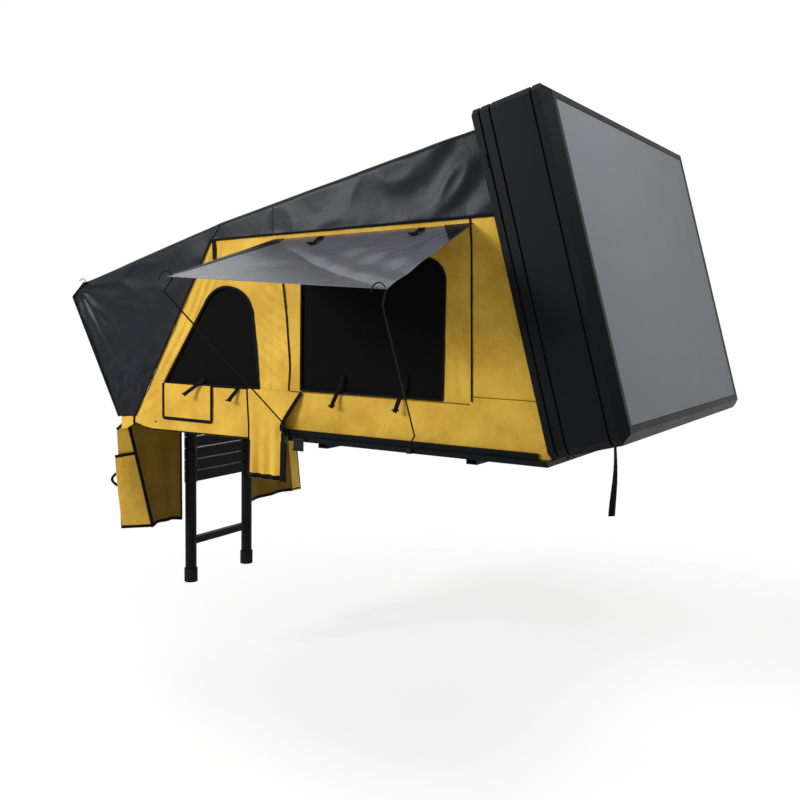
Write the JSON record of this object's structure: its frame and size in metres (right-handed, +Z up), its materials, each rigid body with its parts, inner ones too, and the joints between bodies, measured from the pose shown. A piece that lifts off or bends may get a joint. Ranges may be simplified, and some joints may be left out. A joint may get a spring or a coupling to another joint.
{
  "type": "roof top tent",
  "caption": "Fold-out vehicle roof tent with a hinged hard lid, fold-out floor and telescopic ladder, canvas walls, mesh windows, an entrance hood and a window awning on rods.",
  "frame": {"origin": "middle of the base on the underside of the two mounting rails, at the centre of the rack bolt pattern", "axes": "+Z up, -X towards the entrance end with the ladder, +X towards the lid's hinge, -Y towards the awning side"},
  "size_m": [3.1042, 2.6329, 2.478],
  "materials": {
    "black_aluminium": "satin",
    "bare_aluminium": "satin",
    "black_steel": "satin",
    "bright_steel": "satin",
    "lid_panel": "satin",
    "deck_board": "matte",
    "mattress_cloth": "matte",
    "yellow_canvas": "matte",
    "black_canvas": "satin",
    "grey_canvas": "satin",
    "window_mesh": "matte",
    "webbing": "matte",
    "black_rubber": "matte",
    "black_plastic": "satin"
  },
  "bodies": {
    "base": {"rail_entrance": "black_aluminium", "rail_hinge_end": "black_aluminium", "tray": "black_aluminium", "floor_board": "deck_board", "base_mattress": "mattress_cloth", "lid_hinge_leaves": "black_steel", "lid_hinge_pins": "bright_steel", "fold_brackets": "black_steel", "fold_pins": "bright_steel", "strut_anchors": "black_steel", "latch_plates": "black_steel", "rod_sockets": "black_plastic", "awning_rod_left": "black_steel", "awning_rod_right": "black_steel", "pull_strap": "webbing", "wall_near": "yellow_canvas", "wall_far": "yellow_canvas", "window_net_near": "window_mesh", "window_net_far": "window_mesh", "roof_fly": "black_canvas", "hinge_flap_near": "yellow_canvas", "hinge_flap_far": "yellow_canvas"},
    "lid": {"lid_frame": "black_aluminium", "lid_skin": "lid_panel", "lid_seal": "black_rubber", "lid_leaves": "black_steel", "lid_strut_anchors": "black_steel", "latch_keepers": "black_steel"},
    "strut_near": {"strut_tube_near": "black_steel"},
    "strut_far": {"strut_tube_far": "black_steel"},
    "rod_near": {"strut_rod_near": "bright_steel"},
    "rod_far": {"strut_rod_far": "bright_steel"},
    "latch_near": {"latch_near": "black_steel"},
    "latch_far": {"latch_far": "black_steel"},
    "floor": {"fold_floor": "black_aluminium", "fold_arms": "black_steel", "floor_mattress": "mattress_cloth", "bow_brackets": "black_steel", "bow_pins": "bright_steel", "ladder_bracket": "black_steel", "ladder_pin": "bright_steel", "floor_wall_near": "yellow_canvas", "floor_wall_far": "yellow_canvas", "floor_net_near": "window_mesh", "floor_net_far": "window_mesh", "hood": "black_canvas", "door_wall": "yellow_canvas", "side_pocket": "yellow_canvas", "skirt_near": "yellow_canvas", "skirt_far": "yellow_canvas"},
    "bow": {"roof_bow": "bare_aluminium"},
    "awning": {"window_awning": "grey_canvas"},
    "ladder_top": {"ladder_top": "black_aluminium"},
    "ladder_2": {"ladder_section_2": "black_aluminium"},
    "ladder_3": {"ladder_section_3": "black_aluminium"},
    "ladder_4": {"ladder_section_4": "black_aluminium"},
    "ladder_bottom": {"ladder_bottom": "black_aluminium", "ladder_feet": "black_rubber"}
  },
  "joints": [
    {"name": "lid_hinge", "type": "hinge", "parent": "base", "child": "lid", "pos_m": [0.733, 0, 0.045], "axis": [0, -1, 0], "range_deg": [0, 74.4], "deforming": ["wall_near", "wall_far", "window_net_near", "window_net_far", "roof_fly", "hinge_flap_near", "hinge_flap_far", "window_awning", "floor_wall_near", "floor_wall_far", "floor_net_near", "floor_net_far", "hood", "door_wall", "side_pocket"]},
    {"name": "strut_swing_near", "type": "hinge", "parent": "base", "child": "strut_near", "pos_m": [0.62, -0.85, 0.075], "axis": [0, -1, 0], "range_deg": [0, 93.8]},
    {"name": "strut_slide_near", "type": "slide", "parent": "strut_near", "child": "rod_near", "axis": [0.4443, 0, 0.8959], "range_m": [-0.1183, 0]},
    {"name": "strut_swing_far", "type": "hinge", "parent": "base", "child": "strut_far", "pos_m": [0.62, 0.85, 0.075], "axis": [0, -1, 0], "range_deg": [0, 93.8]},
    {"name": "strut_slide_far", "type": "slide", "parent": "strut_far", "child": "rod_far", "axis": [0.4443, 0, 0.8959], "range_m": [-0.1183, 0]},
    {"name": "latch_swing_near", "type": "hinge", "parent": "base", "child": "latch_near", "pos_m": [-0.5, -0.974, 0.032], "axis": [-1, 0, 0], "range_deg": [0, 180]},
    {"name": "latch_swing_far", "type": "hinge", "parent": "base", "child": "latch_far", "pos_m": [-0.5, 0.974, 0.032], "axis": [1, 0, 0], "range_deg": [0, 180]},
    {"name": "floor_fold", "type": "hinge", "parent": "base", "child": "floor", "pos_m": [-0.675, 0, 0.112], "axis": [0, 1, 0], "range_deg": [0, 180], "deforming": ["floor_wall_near", "floor_wall_far", "floor_net_near", "floor_net_far", "hood", "door_wall", "side_pocket", "skirt_near", "skirt_far", "wall_near", "wall_far", "window_net_near", "window_net_far", "roof_fly", "hinge_flap_near", "hinge_flap_far"]},
    {"name": "bow_fold", "type": "hinge", "parent": "floor", "child": "bow", "pos_m": [-0.77, 0, 0.06], "axis": [0, -1, 0], "range_deg": [0, 76.3]},
    {"name": "awning_drop", "type": "hinge", "parent": "base", "child": "awning", "pos_m": [-0.681, -0.9248, 0.9496], "axis": [0.999, 0, 0.0445], "range_deg": [0, 74.6], "deforming": ["window_awning"]},
    {"name": "ladder_swing", "type": "hinge", "parent": "floor", "child": "ladder_top", "pos_m": [-1.668, -0.19, -0.021], "axis": [0, -1, 0], "range_deg": [-15, 90]},
    {"name": "ladder_slide_2", "type": "slide", "parent": "ladder_top", "child": "ladder_2", "axis": [0, 0, 1], "range_m": [-0.28, 0]},
    {"name": "ladder_slide_3", "type": "slide", "parent": "ladder_2", "child": "ladder_3", "axis": [0, 0, 1], "range_m": [-0.28, 0]},
    {"name": "ladder_slide_4", "type": "slide", "parent": "ladder_3", "child": "ladder_4", "axis": [0, 0, 1], "range_m": [-0.28, 0]},
    {"name": "ladder_slide_bottom", "type": "slide", "parent": "ladder_4", "child": "ladder_bottom", "axis": [0, 0, 1], "range_m": [-0.28, 0]}
  ],
  "couplings": [
    {"joint": "strut_swing_near", "follows": "lid_hinge", "ratio": 1.2524},
    {"joint": "strut_slide_near", "follows": "lid_hinge", "m_per_rad": -0.090304},
    {"joint": "strut_swing_far", "follows": "lid_hinge", "ratio": 1.2524},
    {"joint": "strut_slide_far", "follows": "lid_hinge", "m_per_rad": -0.090304},
    {"joint": "bow_fold", "follows": "floor_fold", "ratio": 0.42278},
    {"joint": "awning_drop", "follows": "lid_hinge", "ratio": 1},
    {"joint": "ladder_slide_3", "follows": "ladder_slide_2", "ratio": 1},
    {"joint": "ladder_slide_4", "follows": "ladder_slide_2", "ratio": 1},
    {"joint": "ladder_slide_bottom", "follows": "ladder_slide_2", "ratio": 1}
  ]
}
